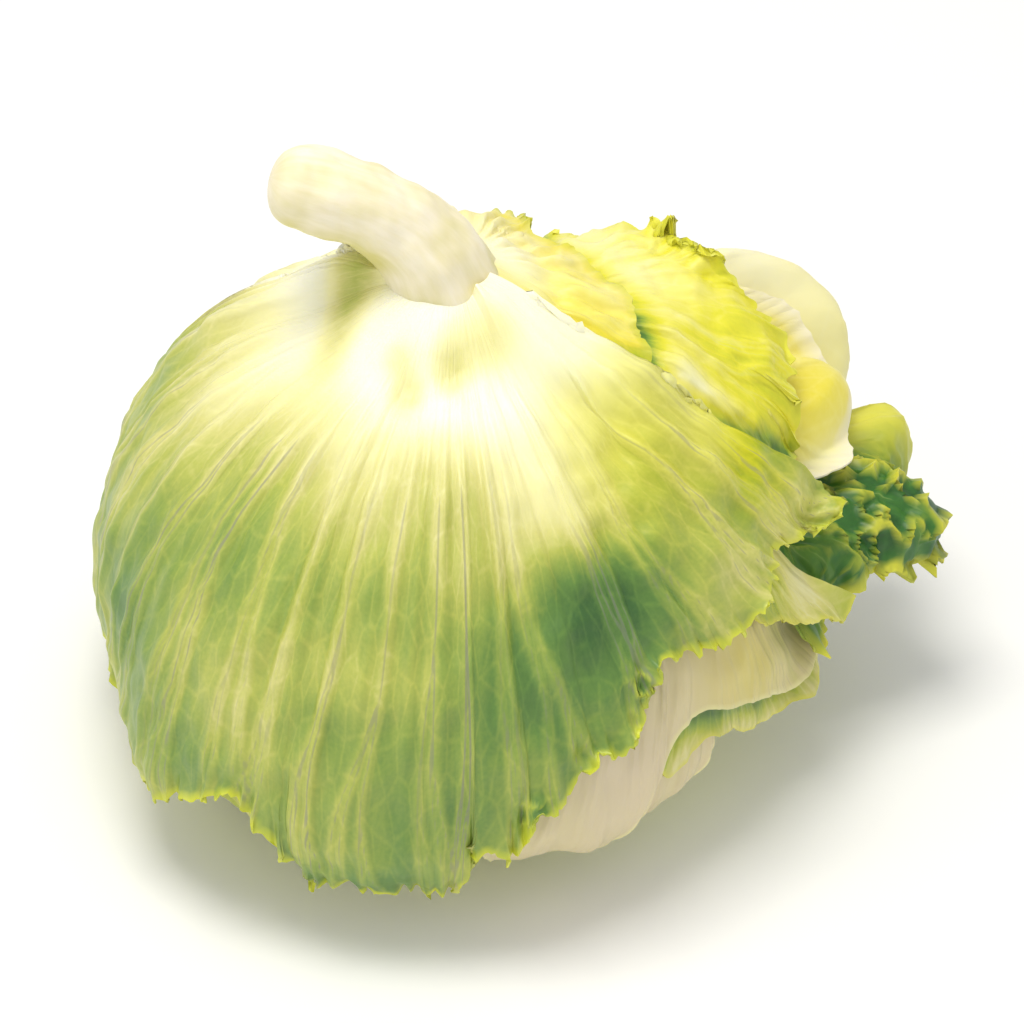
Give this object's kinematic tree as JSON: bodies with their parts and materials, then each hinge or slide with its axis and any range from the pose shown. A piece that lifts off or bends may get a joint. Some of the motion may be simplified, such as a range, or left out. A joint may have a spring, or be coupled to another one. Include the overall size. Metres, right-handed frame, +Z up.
{
  "type": "lettuce head",
  "caption": "Crisphead lettuce resting on its crown with its cut stem up, wrapped in overlapping leaves with waved, frilled margins.",
  "frame": {"origin": "centre of the flat spot on the crown that the head rests on", "axes": "+Z up along the head's own axis to its cut stem, +X towards the loose leaves of its right side, -Y towards the large front wrapper leaf"},
  "size_m": [0.1957, 0.1671, 0.1666],
  "materials": {
    "heart": "crisp pale leaf, slightly glossy",
    "stem": "smooth cream stem, satin",
    "inner_leaf": "yellow-green leaf, slightly glossy",
    "blanched_leaf": "white to pinkish cream leaf, slightly glossy",
    "dark_leaf": "dark green leaf with lighter frills, slightly glossy",
    "pale_leaf": "pale yellow leaf, slightly glossy",
    "yellow_leaf": "bright yellow-green leaf, slightly glossy",
    "wrapper_leaf": "mid green veined leaf, cream at its base, slightly glossy"
  },
  "bodies": {
    "root": {"heart": "heart", "stem": "stem", "inner_leaf_back": "inner_leaf", "inner_leaf_left": "inner_leaf", "lower_bulb_leaf": "blanched_leaf", "lower_right_fold": "inner_leaf", "lower_right_leaf": "blanched_leaf", "frilled_right_leaf": "dark_leaf", "pale_upper_leaf": "pale_leaf", "pale_curled_leaf": "pale_leaf", "folded_tip_leaf": "inner_leaf", "wrapper_right_leaf": "yellow_leaf", "wrapper_back_leaf": "wrapper_leaf", "wrapper_top_leaf": "pale_leaf", "wrapper_front_leaf": "wrapper_leaf"}
  },
  "joints": []
}
